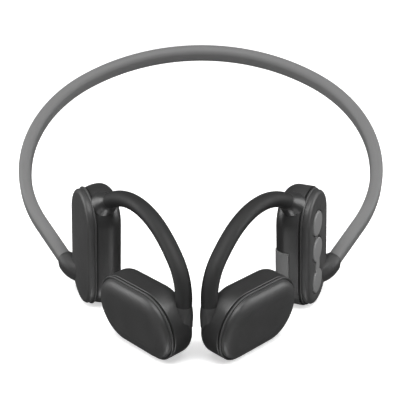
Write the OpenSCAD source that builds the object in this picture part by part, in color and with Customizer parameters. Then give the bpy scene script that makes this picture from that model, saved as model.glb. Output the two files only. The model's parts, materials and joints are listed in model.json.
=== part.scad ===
// Open-ear bone conduction headphones on a neckband.
// Millimetres, Z up. The origin is on the floor, under the middle of the
// bounding box. The wearer faces -Y. Left is the -X side and right is the
// +X side, as the object is seen from in front.

/* [Neckband] */
// Thickness of the band, measured across its plane
band_thick = 4.3; // [4.1:0.1:4.6]
// Height of the band's section
band_tall = 6.2; // [6.0:0.1:6.6]
// Radius of the arc behind the neck
band_back_r = 68.2; // [67.7:0.1:68.7]
// Radius of the arcs at the sides of the neck
band_side_r = 49.4; // [49:0.1:49.8]
// Length of the straight ends that run to the pods
band_end_len = 19.3; // [18.6:0.1:19.8]

/* [Pods] */
// Height of a pod
pod_tall = 41; // [40.5:0.5:42]
// Width of a pod, front to back
pod_wide = 21; // [20.8:0.1:21.4]
// Thickness of a pod, outside to inside
pod_thick = 11.6; // [11.6:0.1:12]
// Wall of the plastic shells
wall = 1.2; // [1.1:0.05:1.3]

/* [Speakers] */
// Length of a speaker pod
speaker_long = 36.2; // [36:0.1:36.6]
// Height of a speaker pod
speaker_tall = 22.2; // [22:0.1:22.6]
// Depth of the rear shell behind the rim
speaker_deep = 8.2; // [8.2:0.1:8.6]
// Height of the domed front cover
speaker_dome = 3.0; // [2.8:0.1:3.2]

/* [Hooks] */
// Diameter of the ear hook's soft sleeve
hook_d = 5.0; // [4.8:0.1:5.2]

/* [Buttons] */
// Diameter of the power button
button_d = 8.2; // [7.8:0.1:8.4]
// How far the buttons stand out of the cover
button_proud = 0.35; // [0.2:0.05:0.5]

/* [Hidden] */
$fn = 64;

// Places of the left half's pieces. The right half is its mirror image.
middle_y = 19.78;                    // from the pods to the box's middle
pod_place = [-32.68, 0.39, 20.44];
pod_yaw = -68;                       // turns a pod's width to the front
pod_splay = -2;                      // leans a pod's foot inward
pod_lean = -10;                      // leans a pod's head to the front
speaker_place = [-17.65, -37.8, 11.18];
speaker_yaw = -52.2;
speaker_pitch = 11.5;
speaker_roll = 1.1;
hook_place = [-30.0, -6.5, 0];
hook_yaw = -57.0;
band_place = [0, 89.7, 63.8];
band_slope = 34;
back_turn = 38;                      // half angle of the arc behind the neck
side_turn = 84.1;

// Pod section. Heights are measured outward from the pod's middle plane.
pod_r = pod_wide / 2;
pod_run = pod_tall - pod_wide;
pod_half = pod_thick / 2;
seam_low = 2.7;
seam_high = 3.1;
cover_r = pod_r - 0.35;
cover_round = 1.3;
shell_round = 4.2;
seal_w = 0.7;
free_gap = 0.05;                     // between pieces fixed side by side

// Speaker section. Heights are measured outward from the rim.
speaker_r = speaker_tall / 2;
speaker_run = speaker_long - speaker_tall;
speaker_round = 3.2;
speaker_seam = 0.35;
pad_r = 6.4;
pad_run = 10;
pad_tall = 1.5;

// Driver in the speaker, from the front cover back to the pad
yoke_r = 6.6;
yoke_tall = 4.2;
yoke_wall = 1.1;
yoke_top = 1.4;
magnet_r = 4.2;
magnet_tall = 3.0;
coil_r = 5.3;
coil_wall = 0.5;
coil_tall = 4.0;
plate_thick = 0.35;
plate_r = 6.2;
plate_run = 11;
screw_x = 9.6;
screw_r = 0.7;
screw_head_r = 1.3;
screw_head_tall = 0.7;

// Power button and volume rocker, in the right pod's cover
power_y = 9.2;
pivot_y = -5.9;
button_x = 0.8;
lobe_reach = 5.7;                    // from the pivot to each lobe's middle
lobe_r = button_d / 2;
neck_w = 3.4;
button_gap = 0.25;
button_deep = 2.3;
button_top = pod_half + button_proud;
button_low = button_top - button_deep;
stem_r = 1.1;
stem_low = 1.45;
flange_out = 0.6;
pivot_h = 3.0;
pin_r = 0.5;
pin_clear = 0.05;
pin_half = 3.6;
lug_r = 1.1;
ear_in = 2.1;
ear_half = 1.2;
ear_low = 1.7;
ear_high = pod_half - wall + 0.2;

// Boards and switches
board_low = -0.7;
board_thick = 0.6;
board_top = board_low + board_thick;
board_r = 8;
board_run = 17;
switch_side = 3.6;
switch_tall = 0.9;
chip_side = 5;
chip_tall = 0.6;
screw_y = 15.2;

// Battery in the left pod
cell_size = [14.6, 25, 6.4];
cell_y = -2;
cell_round = 1.2;
small_board_size = [11, 5, 0.8];
small_board_y = 13.5;

// Charge port and its rubber flap, on the front edge of the right pod
port_y = -3.4;
port_h = -2.45;
port_mouth = pod_r - wall - 0.55;
port_long = 8.94;
port_tall = 3.16;
port_deep = 5.8;
port_wall = 0.3;
flap_low = -9.6;
flap_reach = 11.6;                   // from the hinge to the free end
flap_axis_x = pod_r + 0.2;
flap_sink = 0.5;
flap_proud = 0.3;
flap_clear = 0.15;
flap_edge_h = -0.4;                  // its edge on the front wall
flap_edge_x = 5.8;                   // its edge on the inner wall
plug_long = 7.4;
plug_tall = 1.9;
plug_deep = 1.6;

// Wires
band_core_d = 1.3;
band_core_at = -1.1;
band_cable_d = 1.1;
band_cable_at = 1.1;
hook_core_d = 1.2;
hook_core_at = -0.8;
hook_cable_d = 0.8;
hook_cable_at = 0.8;
bore_gap = 0.06;
wire_sides = 10;
ring_step = 4;                       // degrees of arc between a wire's rings

// Hook path: tangent arcs in one upright plane, each [radius, angle]
hook_start = [0.6, 36.0];
hook_rise = 36;
hook_arcs = [[32, 69], [44, 12], [14.8, 51]];
root_len = 3.2;                      // straight part that enters the pod
tail_len = 5.5;                      // straight part that enters the speaker
knuckle_r = 4.3;
hook_boot_r = 3.1;
hook_boot_len = 5.2;

// Boots where the band meets the pods
boot_thick = 5.8;
boot_tall = 7.6;
boot_round = 2.6;
boot_back = 2.2;                     // how far it grips the band
boot_bend_r = 8;
boot_turn = 30;                      // bends inward to meet the pod
boot_fore = 4;                       // straight part past the bend

// ------------------------------- placing -------------------------------

// Draws the left half's piece, or its mirror image on the right
module on(side) {
  translate([0, -middle_y, 0])
    mirror([side == "right" ? 1 : 0, 0, 0]) children();
}

// A pod's own space: X forward, Y up, Z out through its outer face
module at_pod(side) {
  on(side)
    translate(pod_place)
      rotate([0, pod_splay, 0])
        rotate([0, 0, pod_yaw])
          rotate([90, 0, 0])
            rotate([0, 0, pod_lean]) children();
}

// A speaker's own space: X forward, Y up, Z out through its front cover
module at_speaker(side) {
  on(side)
    translate(speaker_place)
      rotate([0, 0, speaker_yaw])
        rotate([speaker_pitch, 0, 0])
          rotate([0, speaker_roll, 0])
            rotate([90, 0, 0]) children();
}

// The start of the hook's path: X along the path, Y to its outside
module at_hook(side) {
  on(side)
    translate(hook_place)
      rotate([0, 0, hook_yaw])
        rotate([90, 0, 0])
          translate(hook_start)
            rotate([0, 0, hook_rise]) children();
}

// The band's plane: Y to the back, origin at the back of the neck
module at_band() {
  translate([0, -middle_y, 0])
    translate(band_place)
      rotate([band_slope, 0, 0]) children();
}

// ------------------------------- sweeping -------------------------------

// Sweeps a half section round a pill whose long axis is Y.
// The section's X is measured from that axis, and its Y is a height.
module pill(run) {
  for (turn = [0, 180])
    rotate([0, 0, turn]) {
      translate([0, run / 2, 0])
        rotate_extrude(angle = 180) children();
      rotate([90, 0, 0])
        linear_extrude(height = run, center = true) children();
    }
}

// The same pill lying along X
module pill_along(run) {
  rotate([0, 0, -90]) pill(run) children();
}

module box_2d(x0, y0, x1, y1) {
  translate([x0, y0]) square([x1 - x0, y1 - y0]);
}

// Half section from low to high with its upper outer corner rounded
module rounded_half(r, low, high, round) {
  box_2d(0, low, r, high - round);
  box_2d(0, low, r - round, high);
  translate([r - round, high - round])
    intersection() {
      circle(round);
      square(round + 1);
    }
}

// Half section from low to high with its lower outer corner rounded
module rounded_half_low(r, low, high, round) {
  mirror([0, 1]) rounded_half(r, -high, -low, round);
}

// Rectangle with rounded corners, centred
module soft_rect(w, h, round) {
  square([w - 2 * round, h], center = true);
  square([w, h - 2 * round], center = true);
  for (x = [-1, 1], y = [-1, 1])
    translate([x * (w / 2 - round), y * (h / 2 - round)]) circle(round);
}

// Plate with rounded corners, standing on its own low face
module soft_plate(size, round) {
  linear_extrude(height = size[2]) soft_rect(size[0], size[1], round);
}

// Sweeps a section along arcs that each turn to the right, from arc i on
module arc_path(arcs, i = 0) {
  if (i < len(arcs)) {
    r = arcs[i][0];
    turn = arcs[i][1];
    translate([0, -r, 0])
      rotate([0, 0, 90 - turn])
        rotate_extrude(angle = turn) translate([r, 0]) children();
    past_arc(r, turn) arc_path(arcs, i + 1) children();
  }
}

// Moves to the end of one arc, heading along the path
module past_arc(r, turn) {
  translate([0, -r, 0])
    rotate([0, 0, -turn])
      translate([0, r, 0]) children();
}

// Moves to the end of all the arcs
module past_arcs(arcs, i = 0) {
  if (i < len(arcs))
    past_arc(arcs[i][0], arcs[i][1]) past_arcs(arcs, i + 1) children();
  else
    children();
}

// A straight piece of path from X = from to X = to
module straight(from, to) {
  translate([from, 0, 0])
    rotate([90, 0, 90])
      linear_extrude(height = to - from) children();
}

// ------------------------------- wires -------------------------------

// Stations along arcs that turn to the right: each is a point and the angle
// of the path's outward normal there
function arc_stations(arcs, p, out, i = 0) =
  i == len(arcs) ? [] :
  let (
    r = arcs[i][0],
    turn = arcs[i][1],
    n = ceil(turn / ring_step),
    c = p - r * [cos(out), sin(out)]
  )
  concat(
    [for (k = [1 : n]) let (a = out - turn * k / n) [c + r * [cos(a), sin(a)], a]],
    arc_stations(arcs, c + r * [cos(out - turn), sin(out - turn)], out - turn, i + 1)
  );

// A station moved along the path; forward is the normal turned clockwise
function moved(station, along) =
  [station[0] + along * [sin(station[1]), -cos(station[1])], station[1]];

function with_tail(stations, tail) =
  concat(stations, [moved(stations[len(stations) - 1], tail)]);

function band_half() =
  with_tail(
    arc_stations([[band_back_r, back_turn], [band_side_r, side_turn]], [0, 0], 90),
    band_end_len - 0.3);

function band_stations() =
  let (right = band_half(), n = len(right))
  concat(
    [for (i = [n - 1 : -1 : 0]) [[-right[i][0][0], right[i][0][1]], 180 - right[i][1]]],
    [[[0, 0], 90]],
    right);

function hook_stations() =
  with_tail(
    concat([[[-root_len, 0], 90], [[0, 0], 90]], arc_stations(hook_arcs, [0, 0], 90)),
    tail_len);

// Round wire along the stations, set off by aside along the normal and by
// above out of the path's plane
module wire(stations, d, aside, above) {
  n = len(stations);
  points = [
    for (s = stations, k = [0 : wire_sides - 1])
      let (a = 360 * k / wire_sides, w = aside + d / 2 * cos(a))
        [s[0][0] + w * cos(s[1]), s[0][1] + w * sin(s[1]), above + d / 2 * sin(a)]
  ];
  sides = [
    for (i = [0 : n - 2], k = [0 : wire_sides - 1])
      let (a = i * wire_sides, b = a + wire_sides, next = (k + 1) % wire_sides)
        [a + k, a + next, b + next, b + k]
  ];
  low_end = [for (k = [wire_sides - 1 : -1 : 0]) k];
  high_end = [for (k = [0 : wire_sides - 1]) (n - 1) * wire_sides + k];
  polyhedron(points, concat(sides, [low_end], [high_end]), convexity = 6);
}

// ------------------------------- neckband -------------------------------

// Moves to where the band's straight end begins; X points out of the loop
// and -Y runs on along the band
module at_band_end() {
  translate([0, -band_back_r, 0])
    rotate([0, 0, 90 - back_turn])
      translate([band_back_r - band_side_r, 0, 0])
        rotate([0, 0, -side_turn])
          translate([band_side_r, 0, 0]) children();
}

// Sweeps a section along the whole band
module band_sweep() {
  translate([0, -band_back_r, 0])
    rotate([0, 0, 90 - back_turn])
      rotate_extrude(angle = 2 * back_turn)
        translate([band_back_r, 0]) children();
  for (side = [0, 1])
    mirror([side, 0, 0])
      at_band_end() {
        translate([-band_side_r, 0, 0])
          rotate_extrude(angle = side_turn)
            translate([band_side_r, 0]) children();
        rotate([90, 0, 0])
          linear_extrude(height = band_end_len) children();
      }
}

module band_section() {
  difference() {
    soft_rect(band_thick, band_tall, 1.9);
    translate([0, band_core_at]) circle(band_core_d / 2 + bore_gap);
    translate([0, band_cable_at]) circle(band_cable_d / 2 + bore_gap);
  }
}

module neckband_sleeve() {
  color("#89898b") at_band() band_sweep() band_section();
}

module neckband_core() {
  color("#b9bcc0")
    at_band() wire(band_stations(), band_core_d, 0, band_core_at);
}

module neckband_cable() {
  color("#3c3c40")
    at_band() wire(band_stations(), band_cable_d, 0, band_cable_at);
}

// Collar that grips the band's end and runs on to the pod
module band_boot(side) {
  color("#3a3a3c")
    difference() {
      at_band()
        mirror([side == "left" ? 1 : 0, 0, 0])
          at_band_end() band_boot_body();
      at_pod(side) pod_envelope(free_gap);
    }
}

// Straight grip on the band, a bend, and a straight part into the pod
module band_boot_body() {
  from = band_end_len - boot_back;
  difference() {
    boot_run(from, boot_back) soft_rect(boot_thick, boot_tall, boot_round);
    boot_run(from - 1, boot_back + 1)
      soft_rect(band_thick + 2 * bore_gap, band_tall + 2 * bore_gap, 1.9);
  }
  translate([-boot_bend_r, -band_end_len, 0])
    rotate([0, 0, -boot_turn]) {
      rotate_extrude(angle = boot_turn)
        translate([boot_bend_r, 0]) soft_rect(boot_thick, boot_tall, boot_round);
      translate([boot_bend_r, 0, 0])
        boot_run(0, boot_fore) soft_rect(boot_thick, boot_tall, boot_round);
    }
}

// Runs a section along -Y
module boot_run(from, length) {
  translate([0, -from, 0])
    rotate([90, 0, 0]) linear_extrude(height = length) children();
}

// ------------------------------- pods -------------------------------

module pod_envelope(grow) {
  pill(pod_run) {
    rounded_half(pod_r + grow, 0, pod_half + grow, cover_round);
    rounded_half_low(pod_r + grow, -pod_half - grow, 0, shell_round);
  }
}

module pod_cover_blank() {
  pill(pod_run)
    difference() {
      rounded_half(cover_r, seam_high, pod_half, cover_round);
      rounded_half(cover_r - wall, 0, pod_half - wall, cover_round - wall);
    }
}

module pod_cover(side) {
  color("#444446")
    at_pod(side) {
      if (side == "left") pod_cover_blank();
      else control_cover();
    }
}

// The right pod's cover, with button holes and two ears for the rocker's pin
module control_cover() {
  difference() {
    pod_cover_blank();
    translate([button_x, power_y, 0])
      linear_extrude(height = pod_half + 1) circle(lobe_r + button_gap);
    linear_extrude(height = pod_half + 1) rocker_outline(button_gap);
  }
  for (x = [-1, 1])
    difference() {
      translate([button_x + x * (ear_in + pin_half) / 2, pivot_y, (ear_low + ear_high) / 2])
        cube([pin_half - ear_in, 2 * ear_half, ear_high - ear_low], center = true);
      pin_hole(pin_r);
    }
}

module pin_hole(r) {
  translate([button_x, pivot_y, pivot_h])
    rotate([0, 90, 0]) cylinder(r = r, h = 2 * pin_half + 2, center = true);
}

module pod_shell_blank() {
  pill(pod_run)
    difference() {
      rounded_half_low(pod_r, -pod_half, seam_low, shell_round);
      rounded_half_low(pod_r - wall, -pod_half + wall, seam_low + 1, shell_round - wall);
    }
}

module pod_shell(side) {
  color("#38383a")
    at_pod(side) {
      if (side == "left") pod_shell_blank();
      else port_shell();
    }
}

// The right pod's shell, recessed and cut through for the charge port
module port_shell() {
  difference() {
    pod_shell_blank();
    flap_region(flap_clear, flap_sink + flap_clear, 2);
    translate([pod_r - 2, port_y, port_h])
      cube([6, port_long + 0.2, port_tall + 0.2], center = true);
  }
  for (y = [-1, 1])
    difference() {
      translate([0, y * screw_y, -pod_half + wall - 0.2])
        cylinder(r = 1.5, h = board_low - free_gap + pod_half - wall + 0.2);
      translate([0, y * screw_y, -pod_half + wall])
        cylinder(r = screw_r, h = pod_half);
    }
}

// Thin gasket in the groove between cover and shell
module pod_seal(side) {
  color("#1c1c1e")
    at_pod(side)
      pill(pod_run)
        box_2d(cover_r - wall + 0.1, seam_low, cover_r - wall + 0.1 + seal_w, seam_high);
}

// ------------------------------- hooks -------------------------------

// Sweeps a section along the hook, from inside the pod to inside the speaker
module hook_sweep() {
  straight(-root_len, 0) children();
  arc_path(hook_arcs) children();
  past_arcs(hook_arcs) straight(0, tail_len) children();
}

// Holes for the hook's wires, for pieces that the hook runs through
module hook_wire_space() {
  hook_sweep() {
    translate([hook_core_at, 0]) circle(hook_core_d / 2 + bore_gap);
    translate([hook_cable_at, 0]) circle(hook_cable_d / 2 + bore_gap);
  }
}

module hook_sleeve(side) {
  color("#4c4c4e")
    difference() {
      at_hook(side)
        difference() {
          union() {
            hook_sweep() circle(hook_d / 2);
            knuckle();
          }
          hook_wire_space();
        }
      at_pod(side) pod_envelope(free_gap);
      at_speaker(side) speaker_envelope(free_gap);
      at_hook(side) past_arcs(hook_arcs) hook_boot_blank(free_gap);
    }
}

// Swollen root of the sleeve, on the pod's shoulder
module knuckle() {
  translate([-root_len, 0, 0])
    rotate([0, 90, 0])
      cylinder(r1 = knuckle_r + 0.4, r2 = hook_d / 2, h = root_len + 5);
}

module hook_boot_blank(grow) {
  translate([tail_len - hook_boot_len - grow, 0, 0])
    rotate([0, 90, 0])
      cylinder(r1 = hook_d / 2 + 0.2, r2 = hook_boot_r, h = hook_boot_len + 2.5);
}

// Stiff collar where the hook enters the speaker
module hook_boot(side) {
  color("#47474a")
    difference() {
      at_hook(side) past_arcs(hook_arcs) hook_boot_blank(0);
      at_hook(side) hook_wire_space();
      at_speaker(side) speaker_envelope(free_gap);
    }
}

module hook_core(side) {
  color("#b9bcc0")
    difference() {
      at_hook(side) wire(hook_stations(), hook_core_d, hook_core_at, 0);
      at_pod(side) pod_envelope(free_gap);
      at_speaker(side) speaker_envelope(free_gap);
    }
}

module hook_cable(side) {
  color("#3c3c40")
    difference() {
      at_hook(side) wire(hook_stations(), hook_cable_d, hook_cable_at, 0);
      at_pod(side) pod_envelope(free_gap);
      at_speaker(side) speaker_envelope(free_gap);
    }
}

// ------------------------------- speakers -------------------------------

module speaker_envelope(grow) {
  pill_along(speaker_run) {
    dome_half(speaker_r + grow, speaker_dome + grow);
    rounded_half_low(speaker_r + grow, -speaker_deep - grow, 0, speaker_round);
  }
}

// Half section of the front cover: a short rim, a round edge, a low dome
module dome_half(r, high) {
  polygon([
    [0, 0], [r, 0], [r, 0.7],
    for (a = [0 : 15 : 75])
      [r - 2 + 2 * cos(a), 0.7 + (high - 1.2) * sin(a)],
    [r - 2.6, high - 0.42], [r - 5, high - 0.14], [0, high]
  ]);
}

module speaker_cover(side) {
  color("#454547")
    at_speaker(side)
      pill_along(speaker_run)
        difference() {
          dome_half(speaker_r, speaker_dome);
          translate([0, -wall]) dome_half(speaker_r - wall, speaker_dome);
        }
}

module speaker_shell(side) {
  color("#333335")
    at_speaker(side)
      difference() {
        pill_along(speaker_run)
          difference() {
            rounded_half_low(speaker_r, -speaker_deep, -speaker_seam, speaker_round);
            rounded_half_low(
              speaker_r - wall, -speaker_deep + wall, 1, speaker_round - wall);
          }
        for (x = [-1, 1])
          translate([x * screw_x, 0, -speaker_deep - 1])
            cylinder(r = screw_r, h = wall + 2);
      }
}

module speaker_seal(side) {
  color("#1c1c1e")
    at_speaker(side)
      pill_along(speaker_run)
        box_2d(speaker_r - wall, -speaker_seam, speaker_r - 0.45, 0);
}

// Soft pad that rests on the cheekbone
module contact_pad(side) {
  color("#2f2f31")
    at_speaker(side)
      translate([0, 0, -speaker_deep])
        pill_along(pad_run) rounded_half_low(pad_r, -pad_tall, 0, 1.2);
}

module driver_yoke(side) {
  color("#9a9da1")
    at_speaker(side)
      translate([0, 0, yoke_top - yoke_tall])
        difference() {
          cylinder(r = yoke_r, h = yoke_tall);
          translate([0, 0, -1])
            cylinder(r = yoke_r - yoke_wall, h = yoke_tall - yoke_wall + 1);
        }
}

module driver_magnet(side) {
  color("#c3c6ca")
    at_speaker(side)
      translate([0, 0, yoke_top - yoke_wall - magnet_tall])
        cylinder(r = magnet_r, h = magnet_tall);
}

module voice_coil(side) {
  color("#b5702f")
    at_speaker(side)
      translate([0, 0, spring_top() + free_gap])
        difference() {
          cylinder(r = coil_r, h = coil_tall);
          translate([0, 0, -1]) cylinder(r = coil_r - coil_wall, h = coil_tall + 2);
        }
}

function spring_low() = -speaker_deep + wall + 1.6;
function spring_top() = spring_low() + plate_thick;

// Leaf spring that carries the driver, on two pillars of the rear shell
module spring_plate(side) {
  color("#caccce")
    at_speaker(side)
      difference() {
        union() {
          translate([0, 0, spring_low()])
            pill_along(plate_run) box_2d(0, 0, plate_r, plate_thick);
          for (x = [-1, 1])
            translate([x * screw_x, 0, -speaker_deep + wall])
              cylinder(r = 1.6, h = 1.6 + 0.1);
        }
        for (x = [-1, 1])
          translate([x * screw_x, 0, -speaker_deep])
            cylinder(r = screw_r, h = speaker_deep);
      }
}

// Two screws through each spring plate into the rear shell
module driver_screws() {
  color("#8e9093")
    for (side = ["left", "right"], x = [-1, 1])
      at_speaker(side) translate([x * screw_x, 0, 0]) driver_screw();
}

module driver_screw() {
  translate([0, 0, -speaker_deep + 0.2])
    cylinder(r = screw_r, h = spring_top() + speaker_deep - 0.2);
  translate([0, 0, spring_top()])
    cylinder(r = screw_head_r, h = screw_head_tall);
}

// ------------------------------- electronics -------------------------------

module battery_cell() {
  color("#b8bcc2")
    at_pod("left")
      translate([0, cell_y, -cell_size[2] / 2 - 0.6]) soft_plate(cell_size, cell_round);
}

module battery_board() {
  color("#1f5a3a")
    at_pod("left")
      translate([0, small_board_y, -1]) soft_plate(small_board_size, 0.8);
}

module main_board() {
  color("#1f5a3a")
    at_pod("right")
      difference() {
        translate([0, 0, board_low])
          pill(board_run) box_2d(0, 0, board_r, board_thick);
        for (y = [-1, 1])
          translate([0, y * screw_y, board_low - 1]) cylinder(r = screw_r, h = 3);
      }
}

module radio_chip() {
  color("#202124")
    at_pod("right")
      translate([-3.6, -11, board_top]) soft_plate([chip_side, chip_side, chip_tall], 0.3);
}

module board_screws() {
  color("#8e9093")
    for (y = [-1, 1])
      at_pod("right")
        translate([0, y * screw_y, 0]) {
          translate([0, 0, -pod_half + wall + 0.2])
            cylinder(r = screw_r, h = board_top + pod_half - wall - 0.2);
          translate([0, 0, board_top])
            cylinder(r = screw_head_r, h = screw_head_tall);
        }
}

module key_switch() {
  soft_plate([switch_side, switch_side, switch_tall - 0.25], 0.4);
  cylinder(r = 0.9, h = switch_tall);
}

module power_switch() {
  color("#d0d2d5")
    at_pod("right") translate([button_x, power_y, board_top]) key_switch();
}

module volume_switches() {
  color("#d0d2d5")
    for (way = [-1, 1])
      at_pod("right")
        translate([button_x, pivot_y + way * lobe_reach, board_top]) key_switch();
}

// ------------------------------- buttons -------------------------------

module power_button() {
  color("#7e7e80")
    at_pod("right")
      translate([button_x, power_y, 0]) {
        translate([0, 0, button_low]) cylinder(r = lobe_r, h = button_deep - 0.3);
        translate([0, 0, button_top - 0.3])
          cylinder(r1 = lobe_r, r2 = lobe_r - 0.3, h = 0.3);
        translate([0, 0, button_low])
          cylinder(r = lobe_r + flange_out, h = pod_half - wall - 0.12 - button_low);
        translate([0, 0, stem_low]) cylinder(r = stem_r, h = button_low - stem_low + 0.1);
      }
}

// Two lobes and the neck between them, grown by a gap
module rocker_outline(grow) {
  for (way = [-1, 1])
    translate([button_x, pivot_y + way * lobe_reach]) circle(lobe_r + grow);
  translate([button_x, pivot_y]) square([neck_w + 2 * grow, 2 * lobe_reach], center = true);
}

module volume_rocker() {
  color("#7e7e80")
    at_pod("right")
      difference() {
        union() {
          translate([0, 0, button_low])
            linear_extrude(height = button_deep) rocker_outline(0);
          for (way = [-1, 1])
            translate([button_x, pivot_y + way * lobe_reach, stem_low])
              cylinder(r = stem_r, h = button_low - stem_low + 0.1);
          translate([button_x, pivot_y, pivot_h])
            rotate([0, 90, 0]) cylinder(r = lug_r, h = neck_w, center = true);
          translate([button_x, pivot_y, (pivot_h + button_low + 0.1) / 2])
            cube([neck_w, 2 * lug_r, button_low + 0.1 - pivot_h], center = true);
        }
        pin_hole(pin_r + pin_clear);
      }
}

module rocker_pin() {
  color("#b9bcc0")
    at_pod("right")
      translate([button_x, pivot_y, pivot_h])
        rotate([0, 90, 0]) cylinder(r = pin_r, h = 2 * pin_half, center = true);
}

// ------------------------------- charge port -------------------------------

// Stadium outline of the socket, in the plane across its mouth
module port_outline(grow) {
  long = port_long + 2 * grow;
  tall = port_tall + 2 * grow;
  soft_rect(long, tall, tall / 2 - 0.05);
}

// Places a section across the port's mouth and runs it from x0 to x1
module port_run(x0, x1) {
  translate([x0, port_y, port_h])
    rotate([90, 0, 90]) linear_extrude(height = x1 - x0) children();
}

module charge_port() {
  back = port_mouth - port_deep;
  color("#c3c6ca")
    at_pod("right") {
      difference() {
        port_run(back, port_mouth) port_outline(0);
        port_run(back + 0.5, port_mouth + 1) port_outline(-port_wall);
      }
      port_run(back + 0.4, port_mouth - 2.2)
        square([6.2, 0.6], center = true);
    }
}

// The part of the pod's skin that the flap covers, from sink below the
// surface to proud above it
module flap_region(grow, sink, proud) {
  intersection() {
    translate([0, flap_low - grow, 0])
      rotate([90, 0, 180])
        mirror([1, 0, 0])
          linear_extrude(height = flap_reach + 2 * grow)
            difference() {
              rounded_half_low(pod_r + proud, -pod_half - proud, flap_edge_h + grow,
                               shell_round + proud);
              rounded_half_low(pod_r - sink, -pod_half + sink, 5, shell_round - sink);
              box_2d(-1, -20, flap_edge_x - grow, 20);
            }
    translate([flap_axis_x, flap_low, 0])
      cylinder(r = flap_reach + grow, h = 40, center = true, $fn = 96);
  }
}

// Rubber flap over the charge port, with a plug that fills its mouth
module port_cover() {
  color("#5e5e60")
    at_pod("right") {
      flap_region(0, flap_sink, flap_proud);
      port_run(pod_r - flap_sink - plug_deep, pod_r - flap_sink + 0.2)
        soft_rect(plug_long, plug_tall, plug_tall / 2 - 0.05);
    }
}

// ------------------------------- nodes -------------------------------

neckband_sleeve();
neckband_core();
neckband_cable();
band_boot("left");  // band_boot_left
band_boot("right");  // band_boot_right
pod_cover("left");  // pod_cover_left
pod_cover("right");  // pod_cover_right
pod_shell("left");  // pod_shell_left
pod_shell("right");  // pod_shell_right
pod_seal("left");  // pod_seal_left
pod_seal("right");  // pod_seal_right
hook_sleeve("left");  // hook_sleeve_left
hook_sleeve("right");  // hook_sleeve_right
hook_core("left");  // hook_core_left
hook_core("right");  // hook_core_right
hook_cable("left");  // hook_cable_left
hook_cable("right");  // hook_cable_right
hook_boot("left");  // hook_boot_left
hook_boot("right");  // hook_boot_right
speaker_cover("left");  // speaker_cover_left
speaker_cover("right");  // speaker_cover_right
speaker_shell("left");  // speaker_shell_left
speaker_shell("right");  // speaker_shell_right
speaker_seal("left");  // speaker_seal_left
speaker_seal("right");  // speaker_seal_right
contact_pad("left");  // contact_pad_left
contact_pad("right");  // contact_pad_right
driver_yoke("left");  // driver_yoke_left
driver_yoke("right");  // driver_yoke_right
driver_magnet("left");  // driver_magnet_left
driver_magnet("right");  // driver_magnet_right
voice_coil("left");  // voice_coil_left
voice_coil("right");  // voice_coil_right
spring_plate("left");  // spring_plate_left
spring_plate("right");  // spring_plate_right
driver_screws();
battery_cell();
battery_board();
main_board();
radio_chip();
board_screws();
power_switch();
volume_switches();
power_button();
volume_rocker();
rocker_pin();
charge_port();
port_cover();
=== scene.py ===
"""Open-ear bone conduction headphones: the visual model.

Shapes are worked out in millimetres, in each piece's own space, with the
same names and sizes as the part's source. make_piece() turns them into
metres in the shared frame.
"""

import json
import math

import bmesh
import bpy
from mathutils import Matrix, Vector


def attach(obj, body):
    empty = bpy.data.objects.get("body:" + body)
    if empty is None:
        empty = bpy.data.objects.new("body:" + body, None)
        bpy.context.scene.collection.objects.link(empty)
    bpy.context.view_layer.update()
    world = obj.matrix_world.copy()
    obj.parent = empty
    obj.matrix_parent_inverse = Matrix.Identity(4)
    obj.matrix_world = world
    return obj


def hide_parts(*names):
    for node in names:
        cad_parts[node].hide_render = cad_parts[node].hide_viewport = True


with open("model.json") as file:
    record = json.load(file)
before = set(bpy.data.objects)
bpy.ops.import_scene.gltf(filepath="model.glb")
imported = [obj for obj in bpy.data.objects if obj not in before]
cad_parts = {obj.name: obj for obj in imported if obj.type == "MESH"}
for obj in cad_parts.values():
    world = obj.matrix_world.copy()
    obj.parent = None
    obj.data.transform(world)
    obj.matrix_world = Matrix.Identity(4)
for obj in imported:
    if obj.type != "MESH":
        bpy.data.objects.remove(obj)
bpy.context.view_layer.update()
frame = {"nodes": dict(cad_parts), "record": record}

MM = 0.001
SIDES = ("left", "right")
BODY = "headset"
SHARP_ANGLE = 40                     # edges sharper than this aren't smoothed
FLAT_RING = 0.35                     # a ring inside a flat top evens its faces

# Places of the left half's pieces, in millimetres and degrees; the right half
# is the mirror image
MIDDLE_Y = 19.78
POD_PLACE = (-32.68, 0.39, 20.44)
POD_YAW, POD_SPLAY, POD_LEAN = -68, -2, -10
SPEAKER_PLACE = (-17.65, -37.8, 11.18)
SPEAKER_YAW, SPEAKER_PITCH, SPEAKER_ROLL = -52.2, 11.5, 1.1
HOOK_PLACE = (-30.0, -6.5, 0)
HOOK_YAW, HOOK_RISE = -57.0, 36
HOOK_START = (0.6, 36.0, 0)
BAND_PLACE = (0, 89.7, 63.8)
BAND_SLOPE = 34

# Neckband and its boots
BAND_THICK, BAND_TALL, BAND_CORNER = 4.3, 6.2, 1.9
BAND_ARCS = ((68.2, 38), (49.4, 84.1))
BAND_END_LEN = 19.3
BOOT_THICK, BOOT_TALL, BOOT_CORNER = 5.8, 7.6, 2.6
BOOT_BACK, BOOT_BEND_R, BOOT_TURN, BOOT_FORE = 2.2, 8, 30, 4
BOOT_LIP = (0.90, 0.95, 0.985, 1.0)

# Pods
WALL = 1.2
POD_R, POD_RUN, POD_HALF = 10.5, 20, 5.8
SEAM_LOW, SEAM_HIGH = 2.7, 3.1
COVER_R, SHELL_ROUND = 10.15, 4.2
COVER_BEAD = 0.30                    # radius of the bead beside the seam
GROOVE_IN, GROOVE_UP = 0.62, 0.64    # groove above the bead
FACE_IN, EDGE_IN, EDGE_LOW = 0.42, 1.4, 4.4  # soft edge of the cover's face
COVER_INNER_ROUND = 0.4
LIP_R, LIP_IN = 0.30, 1.15           # the shell's lip in the seam
SHELL_BULGE = 0.05                   # how the shell's wall draws in to the seam
SHELL_HEIGHTS = (2.2, 1.7, 1.2, 0.7, 0.2, -0.3, -0.8)

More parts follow.
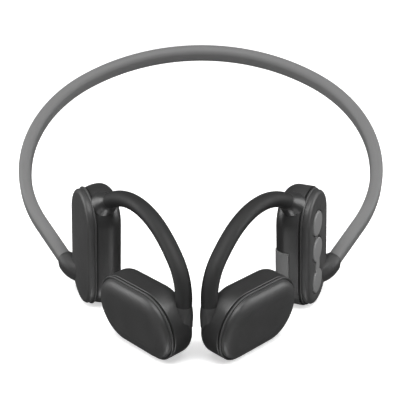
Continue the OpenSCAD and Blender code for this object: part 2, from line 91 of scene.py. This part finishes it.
# Speakers
SPEAKER_R, SPEAKER_RUN = 11.1, 14
SPEAKER_DEEP, SPEAKER_DOME = 8.2, 3.0
SPEAKER_ROUND, SPEAKER_SEAM = 3.2, 0.35
RIM_R, RIM_H = 0.34, 0.36            # the cover's thin rim
# Points of the cover's groove and of its inside: inward from the rim, height
RIM_GROOVE = ((0.62, 0.60), (0.80, 0.56))
COVER_HOLLOW = ((4.5, 1.3), (3.4, 0.4), (2.6, 0.0))
SHOULDER_START = 0.92
SHOULDER_IN, SHOULDER_UP = 4.6, 2.2  # soft edge of the speaker cover's face
PAD_R, PAD_RUN, PAD_TALL = 6.4, 10, 1.5
PAD_ROUND, PAD_SUNK = 1.2, 0.05

# Hooks
HOOK_R = 2.5
HOOK_ARCS = ((32, 69), (44, 12), (14.8, 51))
ROOT_LEN, TAIL_LEN = 3.2, 5.5
KNUCKLE_FLARE = 2.0                  # how far the sleeve swells at the pod
KNUCKLE_FROM, KNUCKLE_FADE, KNUCKLE_LEN = 2.6, 6.0, 9.6
KNUCKLE_SKIN = 0.04                  # keeps the swell clear of the sleeve
HOOK_BOOT_LEN, HOOK_BOOT_R = 5.2, 2.8
HOOK_BOOT_SKIN, HOOK_BOOT_SUNK = 0.15, 1.5
HOOK_BOOT_LIP = (0.93, 0.975, 1.0)
HOOK_BOOT_STEPS = 12
SQUARE_POWER, SQUARE_MOST = 4.0, 1.08  # how square the collar's end is

# Buttons, in the right pod's cover
BUTTON_X, POWER_Y, PIVOT_Y = 0.8, 9.2, -5.9
LOBE_REACH, LOBE_R, NECK_HALF = 5.7, 4.1, 1.7
BUTTON_PROUD, BUTTON_GAP, BUTTON_DEEP = 0.35, 0.25, 2.3
BUTTON_ROUND, HOLE_FLARE = 0.45, 0.30

# Outer CAD nodes shown as packed, with their edges rounded by this much
ROUNDED_CAD_NODES = ("pod_shell_right", "port_cover")
CAD_EDGE = 0.2


# ------------------------------- spaces -------------------------------

def turned(axis, degrees):
    return Matrix.Rotation(math.radians(degrees), 4, axis)


def moved(x, y, z=0):
    return Matrix.Translation((x, y, z))


def half(side):
    """The left half's space in metres, or its mirror image for the right."""
    flip = -1 if side == "right" else 1
    return Matrix.Scale(MM, 4) @ moved(0, -MIDDLE_Y) @ Matrix.Diagonal((flip, 1, 1, 1))


def pod_space(side):
    """X forward, Y up, Z out through the pod's outer face."""
    turn = turned("Y", POD_SPLAY) @ turned("Z", POD_YAW)
    return half(side) @ moved(*POD_PLACE) @ turn @ turned("X", 90) @ turned("Z", POD_LEAN)


def speaker_space(side):
    """X forward, Y up, Z out through the speaker's front cover."""
    turn = turned("Z", SPEAKER_YAW) @ turned("X", SPEAKER_PITCH) @ turned("Y", SPEAKER_ROLL)
    return half(side) @ moved(*SPEAKER_PLACE) @ turn @ turned("X", 90)


def hook_space(side):
    """The hook's start: X along its path, Y to its outside."""
    turn = turned("Z", HOOK_YAW) @ turned("X", 90)
    return half(side) @ moved(*HOOK_PLACE) @ turn @ moved(*HOOK_START) @ turned("Z", HOOK_RISE)


def band_space():
    """The band's plane: Y to the back, origin at the back of the neck."""
    return half("left") @ moved(*BAND_PLACE) @ turned("X", BAND_SLOPE)


# ------------------------------- outlines -------------------------------

def arc(x, y, r, start, end, steps=8):
    """Points on an arc, angles in degrees."""
    angles = [math.radians(start + (end - start) * i / steps) for i in range(steps + 1)]
    return [(x + r * math.cos(a), y + r * math.sin(a)) for a in angles]


def soft_edge(r, low, inward, up, start=0, steps=16):
    """Points over an elliptical edge, from its side to its flat top."""
    points = []
    for i in range(steps + 1):
        a = math.radians(start + (90 - start) * i / steps)
        points.append((r - inward * (1 - math.cos(a)), low + up * math.sin(a)))
    return points


def soft_rect(w, h, corner, steps=6):
    """Outline of a rectangle with rounded corners, centred."""
    x, y = w / 2 - corner, h / 2 - corner
    corners = ((x, y, 0), (-x, y, 90), (-x, -y, 180), (x, -y, 270))
    return [p for cx, cy, a in corners for p in arc(cx, cy, corner, a, a + 90, steps)]


def circle(r, steps=40):
    return arc(0, 0, r, 0, 360 * (steps - 1) / steps, steps - 1)


def round_outline(grow):
    """The power button's outline."""
    r = LOBE_R + grow
    return [(BUTTON_X + x, POWER_Y + y) for x, y in circle(r, 72)]


def rocker_outline(grow):
    """The volume rocker's outline: two lobes and the neck between them."""
    r, neck = LOBE_R + grow, NECK_HALF + grow
    cut = math.degrees(math.asin(neck / r))
    upper = arc(BUTTON_X, PIVOT_Y + LOBE_REACH, r, -90 + cut, 270 - cut, 48)
    lower = arc(BUTTON_X, PIVOT_Y - LOBE_REACH, r, 90 + cut, 450 - cut, 48)
    return upper + lower


# ------------------------------- mesh making -------------------------------

def loft(rings, capped=True):
    """Points and faces of a skin through rings of equal length."""
    size = len(rings[0])
    points = [p for ring in rings for p in ring]
    faces = []
    for i in range(len(rings) - 1):
        a, b = i * size, (i + 1) * size
        for k in range(size):
            n = (k + 1) % size
            faces.append((a + k, a + n, b + n, b + k))
    if capped:
        faces.append(tuple(range(size - 1, -1, -1)))
        faces.append(tuple(range((len(rings) - 1) * size, len(rings) * size)))
    return points, faces


def pill_ring(r, h, run, steps=40):
    """A stadium outline at height h, its straight sides along Y."""
    ring = []
    for end in (1, -1):
        for x, y in arc(0, 0, r, 0, 180, steps):
            ring.append((end * x, end * (run / 2 + y), h))
    return ring


def pill(section, run):
    """A skin from a closed half section of (radius, height).

    The section crosses the axis between two points of radius 0, and the skin
    is left open between them.
    """
    start = max(i for i, (r, h) in enumerate(section) if r == 0)
    around = section[start:] + section[:start]
    return loft([pill_ring(r, h, run) for r, h in around], capped=False)


def tower(outline, section):
    """A capped skin from an outline function and (growth, height) pairs."""
    return loft([[(x, y, h) for x, y in outline(grow)] for grow, h in section])


def make_piece(name, shape, place, material, replaces=(), body=BODY):
    """Makes a smooth-shaded mesh object from (points, faces) in its own space."""
    points, faces = shape
    mesh = bpy.data.meshes.new(name)
    mesh.from_pydata([place @ Vector(p) for p in points], [], faces)
    bm = bmesh.new()
    bm.from_mesh(mesh)
    bmesh.ops.remove_doubles(bm, verts=bm.verts, dist=1e-6)
    bmesh.ops.dissolve_degenerate(bm, dist=1e-7, edges=bm.edges)
    bmesh.ops.recalc_face_normals(bm, faces=bm.faces)
    bm.to_mesh(mesh)
    bm.free()
    mesh.shade_smooth()
    mesh.set_sharp_from_angle(angle=math.radians(SHARP_ANGLE))
    piece = bpy.data.objects.new(name, mesh)
    bpy.context.scene.collection.objects.link(piece)
    mesh.materials.append(material)
    if body:
        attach(piece, body)
    if replaces:
        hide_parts(*replaces)
    return piece


def cut_from(piece, cutters):
    """Cuts the cutters' shapes out of a piece and removes them."""
    bpy.context.view_layer.objects.active = piece
    for cutter in cutters:
        cut = piece.modifiers.new("cut", "BOOLEAN")
        cut.operation = "DIFFERENCE"
        cut.solver = "MANIFOLD"
        cut.object = cutter
        bpy.ops.object.modifier_apply(modifier=cut.name)
        bpy.data.objects.remove(cutter)
    piece.data.shade_smooth()
    piece.data.set_sharp_from_angle(angle=math.radians(SHARP_ANGLE))


# ------------------------------- paths -------------------------------

def arc_stations(arcs, point=(0, 0), out=90.0, step=2.0):
    """Stations (x, y, outward normal) along arcs that turn to the right."""
    stations = [(point[0], point[1], out)]
    for r, turn in arcs:
        x, y, out = stations[-1]
        cx = x - r * math.cos(math.radians(out))
        cy = y - r * math.sin(math.radians(out))
        count = math.ceil(turn / step)
        for k in range(1, count + 1):
            a = out - turn * k / count
            stations.append((cx + r * math.cos(math.radians(a)),
                             cy + r * math.sin(math.radians(a)), a))
    return stations


def along(station, distance):
    """The station moved straight on along the path."""
    x, y, out = station
    a = math.radians(out)
    return (x + distance * math.sin(a), y - distance * math.cos(a), out)


def sweep(stations, section_at):
    """A capped skin; section_at(i) gives the outline at station i."""
    rings = []
    for i, (x, y, out) in enumerate(stations):
        a = math.radians(out)
        across, up = math.cos(a), math.sin(a)
        rings.append([(x + u * across, y + u * up, v) for u, v in section_at(i)])
    return loft(rings)


def scaled(section, k):
    return [(u * k, v * k) for u, v in section]


def ease(t):
    """Smooth step from 0 to 1."""
    t = min(1.0, max(0.0, t))
    return t * t * (3 - 2 * t)


# ------------------------------- materials -------------------------------

WEAR_AND_SHEEN_LIGHTER = 2.4                   # a convex edge's tone over the light one: wear and a painted sheen
COAT_ROUGHNESS = 0.25


def node_maker(owner):
    """A function that adds a node to a material or world, with its settings."""
    tree = owner.node_tree

    def add(kind, inputs=None, **settings):
        node = tree.nodes.new(kind)
        for key, value in settings.items():
            setattr(node, key, value)
        for key, value in (inputs or {}).items():
            if isinstance(value, bpy.types.NodeSocket):
                tree.links.new(value, node.inputs[key])
            else:
                node.inputs[key].default_value = value
        return node
    return add


def rgba(grey_or_colour):
    """A colour with full alpha, from a grey or from red, green and blue."""
    if isinstance(grey_or_colour, (int, float)):
        return (grey_or_colour,) * 3 + (1.0,)
    return tuple(grey_or_colour) + (1.0,)


def surface(name, dark, light, roughness, grain=5200, grain_depth=0.00002, grain_amount=0.35,
            patch=160, metallic=0.0, spread=0.05, specular=0.5, coat=0.0, stretch=(1, 1, 1),
            edge=0.0):
    """A procedural surface: patchy colour, fine moulded grain, uneven gloss.

    dark and light are linear greys or colours. grain and patch are noise
    scales per metre. stretch draws the grain out along an axis, and edge
    lightens convex edges: partly wear, partly a painted sheen.
    """
    material = bpy.data.materials.new(name)
    material.use_nodes = True
    add = node_maker(material)
    shader = material.node_tree.nodes["Principled BSDF"]
    link = material.node_tree.links.new

    place = add("ShaderNodeTexCoord")
    drawn = add("ShaderNodeMapping", {"Vector": place.outputs["Object"], "Scale": stretch})
    cloud = add("ShaderNodeTexNoise", {"Vector": place.outputs["Object"], "Scale": patch,
                                       "Detail": 3.0, "Roughness": 0.55})
    fine = add("ShaderNodeTexNoise", {"Vector": drawn.outputs["Vector"], "Scale": grain,
                                      "Detail": 2.0, "Roughness": 0.6})
    # A colour mix has its factor first, and its own A, B and Result at 6, 7 and 2
    tone = add("ShaderNodeMix", {0: cloud.outputs["Fac"], 6: rgba(dark), 7: rgba(light)},
               data_type="RGBA")
    colour = tone.outputs[2]
    # Convex edges, found by pointiness, are lightened: partly wear, partly a painted sheen
    if edge:
        pointed = add("ShaderNodeNewGeometry").outputs["Pointiness"]
        wear_and_sheen = add("ShaderNodeMapRange", {"Value": pointed, "From Min": 0.52, "From Max": 0.60,
                                          "To Min": 0.0, "To Max": edge})
        bright = rgba([min(1.0, c * WEAR_AND_SHEEN_LIGHTER) for c in rgba(light)[:3]])
        brighter = add("ShaderNodeMix", {0: wear_and_sheen.outputs["Result"], 6: colour, 7: bright},
                       data_type="RGBA")
        colour = brighter.outputs[2]
    link(colour, shader.inputs["Base Color"])
    gloss = add("ShaderNodeMapRange", {"Value": cloud.outputs["Fac"], "From Min": 0.3,
                                       "From Max": 0.7, "To Min": roughness - spread,
                                       "To Max": roughness + spread})
    link(gloss.outputs["Result"], shader.inputs["Roughness"])
    bump = add("ShaderNodeBump", {"Height": fine.outputs["Fac"], "Strength": grain_amount,
                                  "Distance": grain_depth})
    link(bump.outputs["Normal"], shader.inputs["Normal"])
    shader.inputs["Metallic"].default_value = metallic
    shader.inputs["Specular IOR Level"].default_value = specular
    shader.inputs["Coat Weight"].default_value = coat
    shader.inputs["Coat Roughness"].default_value = COAT_ROUGHNESS
    return material


def make_materials():
    """One surface for each material slot of the record."""
    return {
        "band_silicone": surface("band_silicone", 0.150, 0.172, 0.60, grain=3800,
                                 grain_depth=0.00003, patch=90, specular=0.35),
        "boot_rubber": surface("boot_rubber", 0.040, 0.050, 0.50, grain=3400, specular=0.4),
        # edge lightens the plastics' convex edges: wear and a painted sheen
        "cover_plastic": surface("cover_plastic", 0.040, 0.046, 0.48, grain=6200, edge=0.2),
        "shell_plastic": surface("shell_plastic", 0.027, 0.032, 0.36, grain=6200, edge=0.2),
        "hook_silicone": surface("hook_silicone", 0.018, 0.022, 0.60, grain=3800, specular=0.28),
        "pad_silicone": surface("pad_silicone", 0.018, 0.024, 0.55, grain=3000, specular=0.4),
        "seal_rubber": surface("seal_rubber", 0.006, 0.010, 0.65, grain=4200, specular=0.3),
        "button_rubber": surface("button_rubber", 0.19, 0.22, 0.50, grain=3600, specular=0.4),
        "flap_rubber": surface("flap_rubber", 0.17, 0.20, 0.55, grain=3400, specular=0.35),
        "spring_wire": surface("spring_wire", 0.42, 0.52, 0.32, metallic=1.0, grain=2400,
                               stretch=(1, 1, 0.1)),
        "cable_jacket": surface("cable_jacket", 0.012, 0.018, 0.48, grain=3600,
                                stretch=(1, 1, 0.4)),
        "copper": surface("copper", (0.52, 0.22, 0.09), (0.68, 0.32, 0.14), 0.34, metallic=1.0,
                          grain=3600, stretch=(1, 1, 0.3)),
        "driver_steel": surface("driver_steel", 0.46, 0.56, 0.30, metallic=1.0, grain=2600,
                                stretch=(0.15, 1, 1)),
        "screw_steel": surface("screw_steel", 0.40, 0.50, 0.34, metallic=1.0, grain=4200),
        "cell_foil": surface("cell_foil", 0.50, 0.60, 0.38, metallic=0.9, grain=900,
                             grain_depth=0.00006),
        "board_laminate": surface("board_laminate", (0.008, 0.07, 0.03), (0.014, 0.11, 0.05),
                                  0.34, grain=2200, coat=0.3),
        "chip_epoxy": surface("chip_epoxy", 0.012, 0.018, 0.55, grain=5200),
        "switch_metal": surface("switch_metal", 0.48, 0.58, 0.30, metallic=1.0, grain=3200),
    }


def dress_cad_nodes(materials):
    """Gives every CAD node the material of its record slot."""
    slot_of = {part["node"]: part["material_slot"] for part in frame["record"]["subparts"]}
    for name, node in frame["nodes"].items():
        node.data.materials.clear()
        node.data.materials.append(materials[slot_of[name]])


# ------------------------------- neckband -------------------------------

def band_path():
    """Stations from the band's left end, round the back, to its right end."""
    right = arc_stations(BAND_ARCS)
    right.append(along(right[-1], BAND_END_LEN * 0.5))
    right.append(along(right[-2], BAND_END_LEN))
    left = [(-x, y, 180 - out) for x, y, out in reversed(right[1:])]
    return left + right


def make_neckband(materials):
    section = soft_rect(BAND_THICK, BAND_TALL, BAND_CORNER, 8)
    make_piece("neckband", sweep(band_path(), lambda i: section), band_space(),
               materials["band_silicone"], ["neckband_sleeve"])


def boot_path():
    """Stations from the boot's grip on the band to inside the pod."""
    end = arc_stations(BAND_ARCS)[-1]
    grip = [along(end, BAND_END_LEN - BOOT_BACK * (1 - i / 6)) for i in range(7)]
    x, y, out = grip[-1]
    bend = arc_stations([(BOOT_BEND_R, BOOT_TURN)], (x, y), out, 4.0)
    tail = [along(bend[-1], BOOT_FORE * i / 4) for i in range(1, 5)]
    return grip + bend[1:] + tail


def make_band_boot(side, materials):
    section = soft_rect(BOOT_THICK, BOOT_TALL, BOOT_CORNER, 8)

    def section_at(i):
        return scaled(section, BOOT_LIP[min(i, len(BOOT_LIP) - 1)])

    # The boot's path is worked out for the right side of the band's plane
    flip = Matrix.Diagonal((-1 if side == "left" else 1, 1, 1, 1))
    make_piece(f"{side}_band_boot", sweep(boot_path(), section_at), band_space() @ flip,
               materials["boot_rubber"], [f"band_boot_{side}"])


# ------------------------------- pods -------------------------------

def rounded_top(r, top, round_, steps=10):
    """Half section points up the side, over the rounded edge, to the middle."""
    edge = arc(r - round_, top - round_, round_, 0, 90, steps)
    return edge + [(r * FLAT_RING, top), (0, top)]


def upside_down(section):
    return [(r, -h) for r, h in section]


def cover_section():
    """A rim bead by the seam, a groove above it, then the face's soft edge."""
    bead = arc(COVER_R - COVER_BEAD, SEAM_HIGH + COVER_BEAD, COVER_BEAD, -90, 90, 6)
    groove = [(COVER_R - GROOVE_IN, SEAM_HIGH + GROOVE_UP)]
    edge = soft_edge(COVER_R - FACE_IN, EDGE_LOW, EDGE_IN, POD_HALF - EDGE_LOW, 20, 10)
    outer = bead + groove + edge + [(COVER_R * FLAT_RING, POD_HALF), (0, POD_HALF)]
    inner = rounded_top(COVER_R - WALL, POD_HALF - WALL, COVER_INNER_ROUND, 6)
    return outer + inner[::-1] + [(COVER_R - WALL, SEAM_HIGH)]


def shell_section():
    """A wall that bulges a little and turns softly into the inner face."""
    lip = arc(POD_R - LIP_IN, SEAM_LOW - LIP_R, LIP_R, 90, 20, 4)
    low = SHELL_ROUND - POD_HALF
    bulge = [(POD_R - SHELL_BULGE * (h - low) ** 2, h) for h in SHELL_HEIGHTS]
    side = upside_down(rounded_top(POD_R, POD_HALF, SHELL_ROUND, 14))
    inner = upside_down(rounded_top(POD_R - WALL, POD_HALF - WALL, SHELL_ROUND - WALL, 6))
    return lip + bulge + side + inner[::-1] + [(POD_R - WALL, SEAM_LOW)]


def hole_cutter(name, outline, material):
    """The hole round a button, flared where it meets the cover's face."""
    flare = soft_edge(BUTTON_GAP, POD_HALF - HOLE_FLARE, -HOLE_FLARE, HOLE_FLARE, steps=3)
    section = [(BUTTON_GAP, 0)] + flare + [(BUTTON_GAP + HOLE_FLARE, POD_HALF + 1)]
    return make_piece(name, tower(outline, section), pod_space("right"), material, body=None)


def make_pod(side, materials):
    """The covers and the left shell; the right shell is shown as packed."""
    place = pod_space(side)
    cover = make_piece(f"{side}_pod_cover", pill(cover_section(), POD_RUN), place,
                       materials["cover_plastic"], [f"pod_cover_{side}"])
    if side == "right":
        plastic = materials["cover_plastic"]
        cut_from(cover, [hole_cutter("power_hole", round_outline, plastic),
                         hole_cutter("rocker_hole", rocker_outline, plastic)])
    else:
        make_piece("left_pod_shell", pill(shell_section(), POD_RUN), place,
                   materials["shell_plastic"], ["pod_shell_left"])


# ------------------------------- speakers -------------------------------

def speaker_cover_section():
    """A thin rim, a narrow groove, then a face with a broad soft shoulder."""
    rim = arc(SPEAKER_R - RIM_R, RIM_H, RIM_R, -80, 80, 6)
    groove = [(SPEAKER_R - inward, h) for inward, h in RIM_GROOVE]
    face = soft_edge(SPEAKER_R - SHOULDER_START, SPEAKER_DOME - SHOULDER_UP,
                     SHOULDER_IN, SHOULDER_UP)
    face += [(face[-1][0] * k, SPEAKER_DOME) for k in (0.66, 0.33, 0)]
    inner = [(SPEAKER_R - inward, h) for inward, h in COVER_HOLLOW]
    return rim + groove + face + [(0, SPEAKER_DOME - WALL)] + inner


def speaker_shell_section():
    """A lip at the seam, then a straight side and a rounded rear edge."""
    edge = arc(SPEAKER_R - LIP_R, -SPEAKER_SEAM - LIP_R, LIP_R, 90, 0, 4)
    side = upside_down(rounded_top(SPEAKER_R, SPEAKER_DEEP, SPEAKER_ROUND))
    inner = upside_down(rounded_top(SPEAKER_R - WALL, SPEAKER_DEEP - WALL,
                                    SPEAKER_ROUND - WALL, 6))
    return edge + side + inner[::-1] + [(SPEAKER_R - WALL, -SPEAKER_SEAM)]


def make_speaker(side, materials):
    lying = speaker_space(side) @ turned("Z", -90)
    make_piece(f"{side}_speaker_cover", pill(speaker_cover_section(), SPEAKER_RUN), lying,
               materials["cover_plastic"], [f"speaker_cover_{side}"])
    make_piece(f"{side}_speaker_shell", pill(speaker_shell_section(), SPEAKER_RUN), lying,
               materials["shell_plastic"], [f"speaker_shell_{side}"])
    low, high = -SPEAKER_DEEP - PAD_TALL, -SPEAKER_DEEP + PAD_SUNK
    edge = [(r, low - h) for r, h in rounded_top(PAD_R, 0, PAD_ROUND)]
    make_piece(f"{side}_contact_pad", pill(edge + [(0, high), (PAD_R, high)], PAD_RUN), lying,
               materials["pad_silicone"], [f"contact_pad_{side}"])


# ------------------------------- hooks -------------------------------

def hook_path():
    """Stations from inside the pod, over the ear, to the speaker."""
    stations = arc_stations(HOOK_ARCS)
    first, last = stations[0], stations[-1]
    root = [along(first, -ROOT_LEN * (1 - i / 5)) for i in range(5)]
    tail = [along(last, TAIL_LEN * i / 6) for i in range(1, 7)]
    return root + stations + tail


def path_lengths(stations):
    """How far along the path each station is."""
    lengths = [0.0]
    for (x0, y0, _), (x1, y1, _) in zip(stations, stations[1:]):
        lengths.append(lengths[-1] + math.hypot(x1 - x0, y1 - y0))
    return lengths


def make_hook(side, materials):
    """The sleeve along the whole hook, and its swollen root at the pod."""
    stations = hook_path()
    lengths = path_lengths(stations)

    section = circle(HOOK_R, 48)
    make_piece(f"{side}_hook_sleeve", sweep(stations, lambda i: section), hook_space(side),
               materials["hook_silicone"], [f"hook_sleeve_{side}"])

    def knuckle_at(i):
        swell = KNUCKLE_FLARE * (1 - ease((lengths[i] - KNUCKLE_FROM) / KNUCKLE_FADE))
        return circle(HOOK_R + KNUCKLE_SKIN + swell, 48)

    root = [station for station, length in zip(stations, lengths) if length < KNUCKLE_LEN]
    make_piece(f"{side}_hook_root", sweep(root, knuckle_at), hook_space(side),
               materials["shell_plastic"])


def make_hook_boot(side, materials):
    """Collar with flattened sides where the hook enters the speaker."""
    end = arc_stations(HOOK_ARCS)[-1]
    start = TAIL_LEN - HOOK_BOOT_LEN
    length = HOOK_BOOT_LEN + HOOK_BOOT_SUNK
    count = HOOK_BOOT_STEPS
    stations = [along(end, start + length * i / count) for i in range(count + 1)]

    def section_at(i):
        t = i / count
        thin = HOOK_R + HOOK_BOOT_SKIN
        r = thin + (HOOK_BOOT_R - thin) * ease(t * 1.6)
        lip = HOOK_BOOT_LIP[min(i, len(HOOK_BOOT_LIP) - 1)]
        outline = []
        for x, y in circle(1, 48):
            size = (abs(x) ** SQUARE_POWER + abs(y) ** SQUARE_POWER) ** (1 / SQUARE_POWER)
            k = 1 + (min(1 / size, SQUARE_MOST) - 1) * ease(t * 2)
            outline.append((x * r * k * lip, y * r * k * lip))
        return outline

    make_piece(f"{side}_hook_boot", sweep(stations, section_at), hook_space(side),
               materials["boot_rubber"], [f"hook_boot_{side}"])


# ------------------------------- buttons -------------------------------

def button_section():
    """A straight side and a rounded top edge, as (growth, height) pairs."""
    top = POD_HALF + BUTTON_PROUD
    edge = arc(-BUTTON_ROUND, top - BUTTON_ROUND, BUTTON_ROUND, 0, 90, 6)
    return [(0.0, top - BUTTON_DEEP)] + edge


def make_buttons(materials):
    place = pod_space("right")
    for name, outline in (("power_button", round_outline), ("volume_rocker", rocker_outline)):
        make_piece(f"{name}_cap", tower(outline, button_section()), place,
                   materials["button_rubber"], [name], body=name)


def soften_cad_nodes():
    """Rounds the edges of the outer CAD nodes that no piece replaces."""
    for name in ROUNDED_CAD_NODES:
        node = frame["nodes"][name]
        node.data.shade_smooth()
        bevel = node.modifiers.new("edges", "BEVEL")
        bevel.width = CAD_EDGE * MM
        bevel.segments = 3
        bevel.limit_method = "ANGLE"
        bevel.angle_limit = math.radians(SHARP_ANGLE)
        bevel.harden_normals = True


# ------------------------------- studio -------------------------------

# Metres, watts and degrees
FLOOR_HALF, FLOOR_TONE, FLOOR_GLOW = 6, 0.90, 0.55
SKY_LOW, SKY_HIGH = 0.03, 0.05
TOP_LIGHT, TOP_LIGHT_SPREAD, TOP_LIGHT_TILT = 0.8, 60, 20
LIGHTS_AIM = (0, -0.02, 0.03)
# Each softbox: name, place, width, height, watts
SOFTBOXES = (
    ("key_box", (0, -0.34, 0.55), 0.60, 0.24, 3.8),
    ("left_box", (-0.58, 0.02, 0.20), 0.40, 0.40, 2.6),
    ("right_box", (0.58, 0.02, 0.20), 0.40, 0.40, 2.6),
    ("left_strip", (-0.25, -0.30, -0.28), 0.08, 0.25, 0.24),
    ("right_strip", (0.25, -0.30, -0.28), 0.08, 0.25, 0.24),
    ("low_box", (0, -0.16, -0.36), 0.16, 0.16, 0.6),
)


def make_floor():
    """A pale sheet of paper; its bounce is left to the studio's own light."""
    corners = ((-1, -1), (1, -1), (1, 1), (-1, 1))
    points = [(x * FLOOR_HALF, y * FLOOR_HALF, 0) for x, y in corners]
    paper = surface("floor_paper", FLOOR_TONE * 0.99, FLOOR_TONE, 0.9, grain=400,
                    grain_amount=0.02, patch=2, specular=0.0, spread=0.02)
    shader = paper.node_tree.nodes["Principled BSDF"]
    shader.inputs["Emission Color"].default_value = (1, 1, 1, 1)
    shader.inputs["Emission Strength"].default_value = FLOOR_GLOW
    floor = make_piece("floor", (points, [(0, 1, 2, 3)]), Matrix.Identity(4), paper, body=None)
    floor.visible_diffuse = False
    floor.visible_glossy = False
    floor.visible_shadow = False


def make_world():
    """White to the camera; as light, a dim sky a little brighter overhead."""
    world = bpy.data.worlds.new("studio")
    bpy.context.scene.world = world
    world.use_nodes = True
    add = node_maker(world)
    background = world.node_tree.nodes["Background"]
    background.inputs["Color"].default_value = (1, 1, 1, 1)
    direction = add("ShaderNodeTexCoord").outputs["Generated"]
    height = add("ShaderNodeSeparateXYZ", {"Vector": direction}).outputs["Z"]
    sky = add("ShaderNodeMapRange", {"Value": height, "From Min": -0.25, "From Max": 0.9,
                                     "To Min": SKY_LOW, "To Max": SKY_HIGH})
    seen = add("ShaderNodeLightPath").outputs["Is Camera Ray"]
    # A number mix has its factor, A and B at 0, 2 and 3
    strength = add("ShaderNodeMix", {0: seen, 2: sky.outputs["Result"], 3: 1.0})
    world.node_tree.links.new(strength.outputs[0], background.inputs["Strength"])


def make_studio():
    make_floor()
    make_world()
    sun = bpy.data.objects.new("top_light", bpy.data.lights.new("top_light", "SUN"))
    sun.data.energy = TOP_LIGHT
    sun.data.angle = math.radians(TOP_LIGHT_SPREAD)
    sun.rotation_euler = (math.radians(TOP_LIGHT_TILT), 0, 0)
    bpy.context.scene.collection.objects.link(sun)
    for name, place, width, height, watts in SOFTBOXES:
        add_softbox(name, place, width, height, watts)


def add_softbox(name, place, width, height, watts):
    light = bpy.data.lights.new(name, "AREA")
    light.shape = "RECTANGLE"
    light.size, light.size_y = width, height
    light.energy = watts
    box = bpy.data.objects.new(name, light)
    box.location = place
    aim = Vector(LIGHTS_AIM) - Vector(place)
    box.rotation_euler = aim.to_track_quat("-Z", "Y").to_euler()
    bpy.context.scene.collection.objects.link(box)


def make_camera():
    """At the photograph's viewing angle, a little above and to the right."""
    azimuth, elevation, distance = math.radians(0.8), math.radians(18), 0.450
    target = Vector((-0.000064, -0.01516, 0.034))
    back = Vector((math.sin(azimuth) * math.cos(elevation),
                   -math.cos(azimuth) * math.cos(elevation), math.sin(elevation)))
    data = bpy.data.cameras.new("camera")
    data.lens = 126.4
    data.sensor_width = 36
    data.shift_x = 0.003
    camera = bpy.data.objects.new("camera", data)
    camera.location = target + back * distance
    camera.rotation_euler = (-back).to_track_quat("-Z", "Y").to_euler()
    bpy.context.scene.collection.objects.link(camera)
    bpy.context.scene.camera = camera


def main():
    make_camera()
    materials = make_materials()
    dress_cad_nodes(materials)
    make_neckband(materials)
    for side in SIDES:
        make_band_boot(side, materials)
        make_pod(side, materials)
        make_speaker(side, materials)
        make_hook(side, materials)
        make_hook_boot(side, materials)
    make_buttons(materials)
    soften_cad_nodes()
    make_studio()
    bpy.context.scene.view_settings.view_transform = "Standard"


main()
